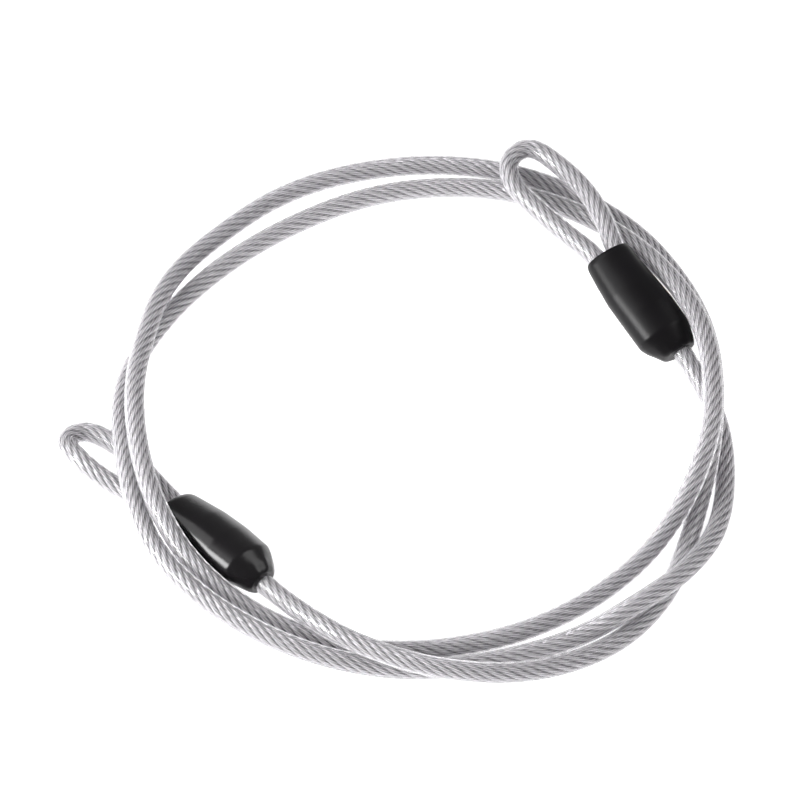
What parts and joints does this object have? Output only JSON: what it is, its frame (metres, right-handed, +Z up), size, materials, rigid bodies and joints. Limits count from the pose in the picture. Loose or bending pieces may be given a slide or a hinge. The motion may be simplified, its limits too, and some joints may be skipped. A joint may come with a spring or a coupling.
{
  "type": "cable lock",
  "caption": "Looped security cable: steel wire rope in a clear jacket with a crimped, sleeved eye at each end, lying as a loose ring.",
  "frame": {"origin": "centre of the bounding box on the surface that the ring of cable lies on", "axes": "+Z up from that surface; +X and +Y in the plane of the ring, with the eye at the upper right at +X +Y and the other eye at -X"},
  "size_m": [0.1598, 0.1495, 0.0159],
  "materials": {
    "rope": "bright galvanised steel wires",
    "jacket": "clear, glossy soft PVC",
    "ferrule": "pressed aluminium, satin",
    "sleeve": "glossy black vinyl, softly creased"
  },
  "bodies": {
    "root": {"rope_core_strand": "rope", "rope_outer_strands": "rope", "jacket_coil": "jacket", "jacket_eye_a": "jacket", "jacket_eye_b": "jacket", "ferrule_a": "ferrule", "ferrule_b": "ferrule", "sleeve_a": "sleeve", "sleeve_b": "sleeve"}
  },
  "joints": []
}
